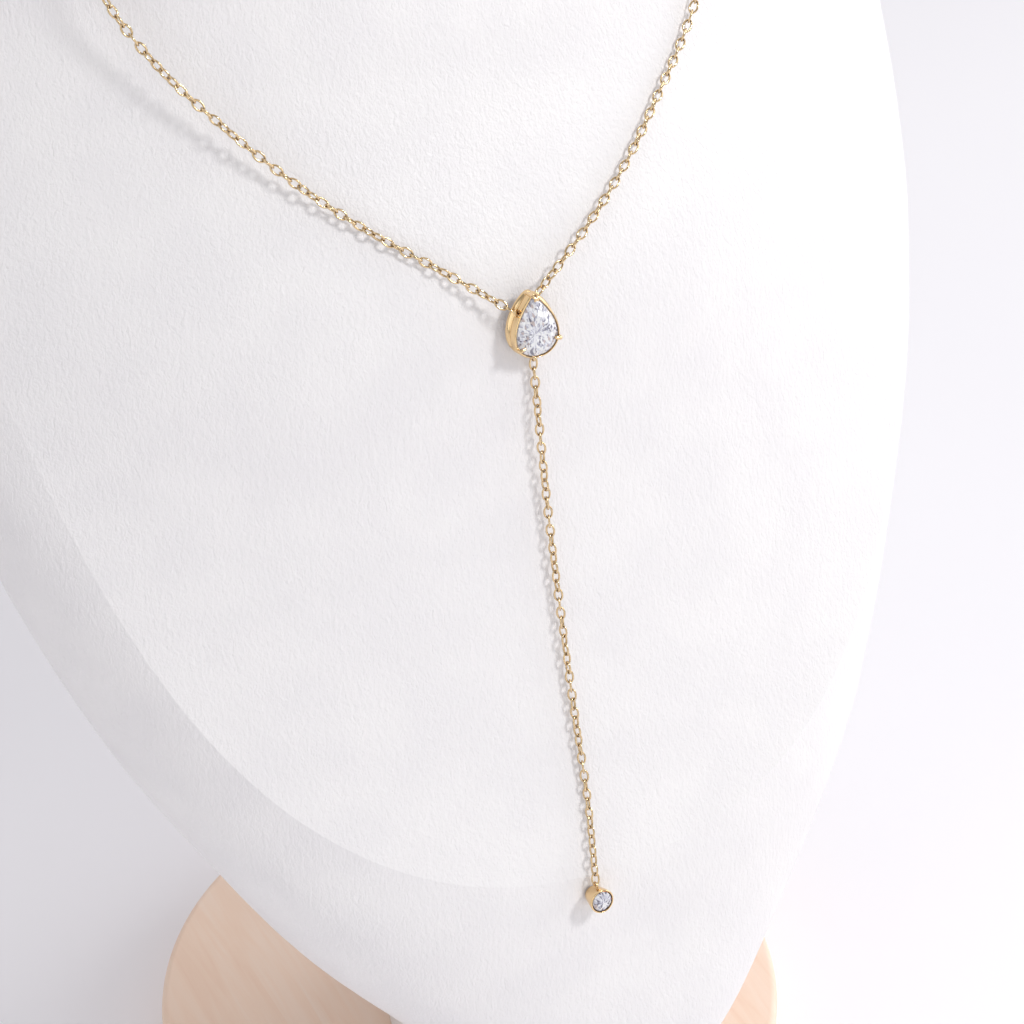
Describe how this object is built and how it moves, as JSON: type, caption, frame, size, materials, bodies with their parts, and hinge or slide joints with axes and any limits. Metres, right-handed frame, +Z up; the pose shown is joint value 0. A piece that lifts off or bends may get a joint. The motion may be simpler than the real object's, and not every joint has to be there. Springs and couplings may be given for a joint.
{
  "type": "y necklace on neck bust",
  "caption": "Y necklace of fine cable chain with a claw-set pear stone and a round bezel drop, shown on a plain neck bust with a round wooden base.",
  "frame": {"origin": "centre of the wooden base's underside", "axes": "+Z up, the bust's chest faces -Y, +X to the right as seen by a viewer in front"},
  "size_m": [0.1762, 0.1475, 0.3],
  "materials": {
    "wood": "light wood, fine grain, thin matt lacquer",
    "leatherette": "white leatherette with a fine pebbled grain, satin",
    "gold": "pale yellow gold plating, polished",
    "stone": "clear faceted stone, polished"
  },
  "bodies": {
    "root": {"wood_base": "wood", "bust": "leatherette", "neck_chain_left": "gold", "neck_chain_right": "gold", "clasp": "gold", "pear_setting": "gold", "pear_stone": "stone", "drop_chain": "gold", "drop_bezel": "gold", "drop_stone": "stone"}
  },
  "joints": []
}
